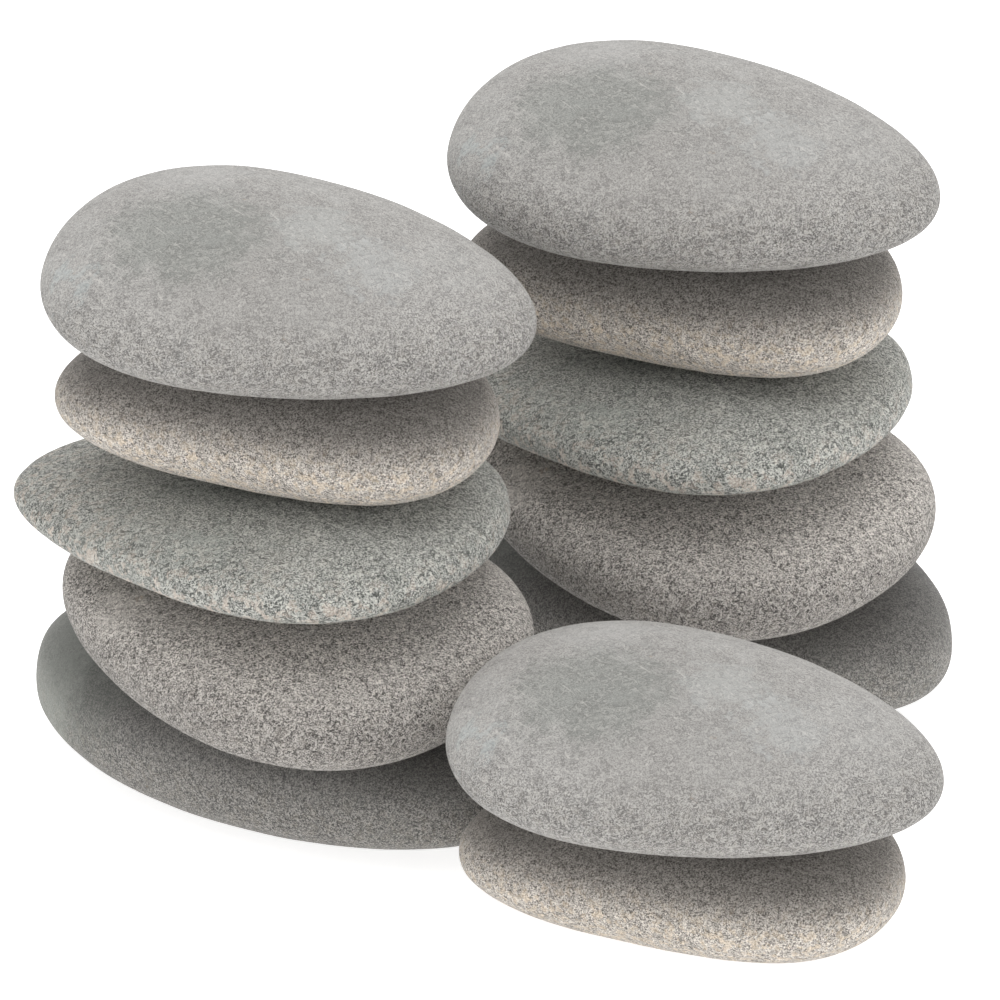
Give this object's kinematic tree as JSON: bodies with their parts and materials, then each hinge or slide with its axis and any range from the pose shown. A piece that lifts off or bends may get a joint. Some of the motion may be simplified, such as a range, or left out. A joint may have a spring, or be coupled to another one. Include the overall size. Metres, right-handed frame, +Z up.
{
  "type": "massage stone set",
  "caption": "Smooth, flattened oval stones in stacks. Each one lifts off to be warmed or chilled and laid on or rubbed over the body in a massage.",
  "frame": {"origin": "on the table, under the middle of the box round all the stones", "axes": "+Z up, the front of the set faces -Y, and the left stack stands towards -X of the others"},
  "size_m": [0.1412, 0.1698, 0.1],
  "materials": {
    "base_basalt": "tumbled smooth, uncoated and matte",
    "round_basalt": "tumbled smooth, uncoated and matte",
    "green_basalt": "tumbled smooth, uncoated and matte",
    "slim_basalt": "tumbled smooth, uncoated and matte",
    "cap_basalt": "tumbled smooth, uncoated and matte"
  },
  "bodies": {
    "left_base": {"left_base_stone": "base_basalt"},
    "left_round": {"left_round_stone": "round_basalt"},
    "left_green": {"left_green_stone": "green_basalt"},
    "left_slim": {"left_slim_stone": "slim_basalt"},
    "left_cap": {"left_cap_stone": "cap_basalt"},
    "rear_base": {"rear_base_stone": "base_basalt"},
    "rear_round": {"rear_round_stone": "round_basalt"},
    "rear_green": {"rear_green_stone": "green_basalt"},
    "rear_slim": {"rear_slim_stone": "slim_basalt"},
    "rear_cap": {"rear_cap_stone": "cap_basalt"},
    "front_slim": {"front_slim_stone": "slim_basalt"},
    "front_cap": {"front_cap_stone": "cap_basalt"}
  },
  "joints": [
    {"name": "left_round_lift", "type": "slide", "parent": "left_base", "child": "left_round", "axis": [0, 0, 1], "range_m": [0, 0.12]},
    {"name": "left_green_lift", "type": "slide", "parent": "left_round", "child": "left_green", "axis": [0, 0, 1], "range_m": [0, 0.12]},
    {"name": "left_slim_lift", "type": "slide", "parent": "left_green", "child": "left_slim", "axis": [0, 0, 1], "range_m": [0, 0.12]},
    {"name": "left_cap_lift", "type": "slide", "parent": "left_slim", "child": "left_cap", "axis": [0, 0, 1], "range_m": [0, 0.12]},
    {"name": "rear_base_lift", "type": "slide", "parent": "left_base", "child": "rear_base", "axis": [0, 0, 1], "range_m": [0, 0.12]},
    {"name": "rear_round_lift", "type": "slide", "parent": "rear_base", "child": "rear_round", "axis": [0, 0, 1], "range_m": [0, 0.12]},
    {"name": "rear_green_lift", "type": "slide", "parent": "rear_round", "child": "rear_green", "axis": [0, 0, 1], "range_m": [0, 0.12]},
    {"name": "rear_slim_lift", "type": "slide", "parent": "rear_green", "child": "rear_slim", "axis": [0, 0, 1], "range_m": [0, 0.12]},
    {"name": "rear_cap_lift", "type": "slide", "parent": "rear_slim", "child": "rear_cap", "axis": [0, 0, 1], "range_m": [0, 0.12]},
    {"name": "front_slim_lift", "type": "slide", "parent": "left_base", "child": "front_slim", "axis": [0, 0, 1], "range_m": [0, 0.12]},
    {"name": "front_cap_lift", "type": "slide", "parent": "front_slim", "child": "front_cap", "axis": [0, 0, 1], "range_m": [0, 0.12]}
  ]
}
